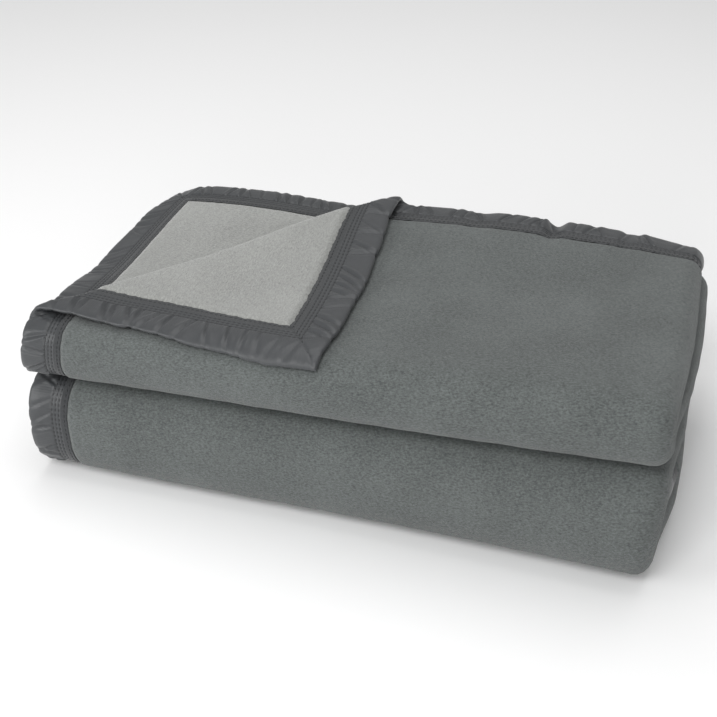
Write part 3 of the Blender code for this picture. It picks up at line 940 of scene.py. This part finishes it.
def stitch_run(start, stop, row, face, edge, sizes, turned=False):
    """Points and sheet coordinates of the stitches in one row, as tubes of four rings of four."""
    pitch = sizes.stitch_length + sizes.stitch_gap
    first = np.arange(start, stop - sizes.stitch_length, pitch)
    station = np.array([0.0, 0.22, 0.78, 1.0])
    girth = np.array([0.35, 1.0, 1.0, 0.35]) * sizes.stitch_thickness / 2
    ring_e, ring_h = np.array([1.0, 0.0, -1.0, 0.0]), np.array([0.0, 1.0, 0.0, -1.0])
    s = first[:, None, None] + (station * sizes.stitch_length)[None, :, None] + np.zeros(4)[None, None, :]
    e = row + girth[None, :, None] * ring_e[None, None, :] + np.zeros_like(s)
    dip = np.array([-0.0003, 0.00008, 0.00008, -0.0003])[None, :, None]
    middle = np.full_like(s, row)
    h = ribbon_half(s, middle, PUCKERS[edge], sizes) + dip + girth[None, :, None] * ring_h[None, None, :]
    u, v, _ = on_edge(edge, s, e)
    return place(u, v, face * h, turned), np.stack([s, e], -1), *on_edge(edge, s, middle)[:2]


def stitches(name, runs, looks):
    """One piece of stitching from several runs."""
    points = np.concatenate([r[0].reshape(-1, 16, 3) for r in runs])
    coords = np.concatenate([r[1].reshape(-1, 16, 2) for r in runs]).reshape(-1, 2)
    ring = np.arange(16).reshape(4, 4)
    sides = [
        [ring[i, j], ring[i, (j + 1) % 4], ring[i + 1, (j + 1) % 4], ring[i + 1, j]]
        for i in range(3)
        for j in range(4)
    ]
    faces = np.array([*sides, ring[0, ::-1].tolist(), ring[3].tolist()])
    every = (faces[None] + 16 * np.arange(len(points))[:, None, None]).reshape(-1, 4)
    piece = new_piece(name, points.reshape(-1, 3), every, coords, [looks["thread"]])
    return piece


class BLANKET_OT_stitching(bpy.types.Operator):
    """Sews the parallel rows of stitching that hold the binding, wherever they show."""

    bl_idname = "blanket.stitching"
    bl_label = "Stitching"

    def execute(self, context):
        sizes, looks = context.scene.blanket_sizes, looks_of(context)
        turned, inner, along_head, upper_roll, lower_roll = [], [], [], [], []
        for row in STITCH_ROWS:
            clear = row + 0.001
            side_crease = float(crease_solve(u=np.array([row]))[0])
            head_crease = float(crease_solve(v=np.array([row]))[0])
            turned.append(stitch_run(clear, side_crease, row, -1, "a", sizes, turned=True))
            turned.append(stitch_run(clear, head_crease, row, -1, "head", sizes, turned=True))
            inner.append(stitch_run(clear, INNER_CORNER, row, -1, "b", sizes))
            inner.append(stitch_run(WIDTH - INNER_CORNER, WIDTH - clear, row, -1, "head", sizes))
            along_head.append(stitch_run(head_crease + 0.001, U_STARTS[2], row, 1, "head", sizes))
            upper_roll.append(stitch_run(side_crease + 0.001, V_STARTS[2] + 0.01, row, 1, "a", sizes))
            lower_roll.append(stitch_run(V_STARTS[5] - 0.01, V_STARTS[6] + 0.01, row, 1, "a", sizes))

        made = {}
        for part, runs in (
            ("turned_corner", turned),
            ("inner_corner", inner),
            ("head", along_head),
            ("upper_roll", upper_roll),
            ("lower_roll", lower_roll),
        ):
            made[part] = stitches(f"stitching_{part}", runs, looks)
            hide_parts(*[f"{part}_stitch_row_{k}" for k in (1, 2, 3, 4)])
        share = np.concatenate([corner_share(u, v).ravel() for _, _, u, v in turned])
        bend(made["turned_corner"], share)
        share = np.concatenate([upper_share(v).ravel() for _, _, _, v in upper_roll])
        bend(made["upper_roll"], share)
        for part, body in (("inner_corner", "top_panel"), ("head", "top_panel"), ("lower_roll", "lower_half")):
            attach(made[part], body)
        return {"FINISHED"}


class BLANKET_OT_declare_sheets(bpy.types.Operator):
    """Lists which pieces are sheets of cloth, the flat size each was cut to, its area, what lies under it and its
    ribbons, but hands these to nothing.
    """

    bl_idname = "blanket.declare_sheets"
    bl_label = "Declare sheets"

    def execute(self, context):
        corner = CREASE**2 / 2
        upper = float(V_STARTS[3])
        upper_area = WIDTH * upper - corner
        sides, below = ["ribbon_side_a_upper", "ribbon_side_b_upper"], ["ribbon_side_a_lower", "ribbon_side_b_lower"]
        turned = ["ribbon_turned_corner_side", "ribbon_turned_corner_head"]
        for name, flat, area, under, ribbons in (
            ("wool_cloth_upper", (WIDTH, upper), upper_area, ["wool_cloth_lower"], [*sides, "ribbon_head"]),
            ("wool_cloth_lower", (WIDTH, LENGTH - upper), None, ["floor"], [*below, "ribbon_foot"]),
            ("wool_turned_corner", (CREASE, CREASE), corner, ["wool_cloth_upper"], turned),
        ):
            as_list(under)
            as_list(ribbons)
        return {"FINISHED"}


class BLANKET_OT_stage(bpy.types.Operator):
    """Sets the camera, a plain pale floor and soft studio lights."""

    bl_idname = "blanket.stage"
    bl_label = "Stage"

    def execute(self, context):
        scene = context.scene
        floor_mesh = bpy.data.meshes.new("floor")
        size, z = 40.0, min(0.0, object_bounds()[0].z) - 0.0002
        corners = [(-size, -size, z), (size, -size, z), (size, size, z), (-size, size, z)]
        floor_mesh.from_pydata(corners, [], [(0, 1, 2, 3)])
        floor = bpy.data.objects.new("floor", floor_mesh)
        scene.collection.objects.link(floor)
        floor_mesh.materials.append(plain_floor("Matt card, pale", scene.blanket_colours.floor))
        floor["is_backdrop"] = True

        azimuth, elevation, roll, distance = math.radians(16.8), math.radians(32.6), math.radians(0.5), 1.301
        target = Vector((-0.0186, -0.014, 0.0867))
        back = Vector((
            math.sin(azimuth) * math.cos(elevation),
            -math.cos(azimuth) * math.cos(elevation),
            math.sin(elevation),
        ))
        lens = bpy.data.cameras.new("camera")
        lens.lens, lens.sensor_width = 64.3, 36.0
        camera = bpy.data.objects.new("camera", lens)
        turn = (-back).to_track_quat("-Z", "Y").to_matrix() @ Matrix.Rotation(roll, 3, "Z")
        camera.matrix_world = Matrix.Translation(target + back * distance) @ turn.to_4x4()
        scene.collection.objects.link(camera)
        scene.camera = camera

        for name, place_at, width, power in (
            ("softbox_key", (-0.2, -1.7, 2.1), 0.8, 20.0),
            ("softbox_low", (0.25, -2.1, 0.7), 0.6, 9.0),
            ("softbox_left", (-1.6, -1.3, 0.9), 1.1, 17.0),
            ("softbox_top", (0.0, 0.5, 2.4), 2.0, 22.0),
        ):
            light = bpy.data.lights.new(name, "AREA")
            light.shape, light.size, light.energy = "SQUARE", width, power
            lamp = bpy.data.objects.new(name, light)
            lamp.location = place_at
            lamp.rotation_euler = (Vector((0, 0, 0.05)) - Vector(place_at)).to_track_quat("-Z", "Y").to_euler()
            scene.collection.objects.link(lamp)
        world = bpy.data.worlds.new("studio")
        world.use_nodes = True
        background = world.node_tree.nodes["Background"]
        background.inputs["Color"].default_value = (1.0, 1.0, 1.0, 1.0)
        background.inputs["Strength"].default_value = 0.42
        scene.world = world
        scene.view_settings.view_transform = "Standard"
        return {"FINISHED"}


STEPS = (
    "wool_cloth",
    "turned_corner",
    "side_ribbons",
    "end_ribbons",
    "corner_ribbons",
    "stitching",
    "declare_sheets",
    "stage",
)


class BLANKET_PT_panel(bpy.types.Panel):
    """Sizes, colours and the steps that build the blanket."""

    bl_idname = "BLANKET_PT_panel"
    bl_label = "Camp Blanket"
    bl_space_type = "VIEW_3D"
    bl_region_type = "UI"
    bl_category = "Blanket"

    def draw(self, context):
        for group in (context.scene.blanket_sizes, context.scene.blanket_colours):
            box = self.layout.box()
            for name in group.bl_rna.properties.keys():
                if name not in ("rna_type", "name"):
                    box.prop(group, name)
        for step in STEPS:
            self.layout.operator(f"blanket.{step}")


CLASSES = (
    BlanketSizes,
    BlanketColours,
    BLANKET_OT_wool_cloth,
    BLANKET_OT_turned_corner,
    BLANKET_OT_side_ribbons,
    BLANKET_OT_end_ribbons,
    BLANKET_OT_corner_ribbons,
    BLANKET_OT_stitching,
    BLANKET_OT_declare_sheets,
    BLANKET_OT_stage,
    BLANKET_PT_panel,
)


def register():
    for cls in CLASSES:
        bpy.utils.register_class(cls)
    bpy.types.Scene.blanket_sizes = PointerProperty(type=BlanketSizes)
    bpy.types.Scene.blanket_colours = PointerProperty(type=BlanketColours)


def unregister():
    del bpy.types.Scene.blanket_colours
    del bpy.types.Scene.blanket_sizes
    for cls in reversed(CLASSES):
        bpy.utils.unregister_class(cls)


def main():
    """Builds every piece and the stage."""
    register()
    for step in STEPS:
        getattr(bpy.ops.blanket, step)()


if __name__ == "__main__":
    main()
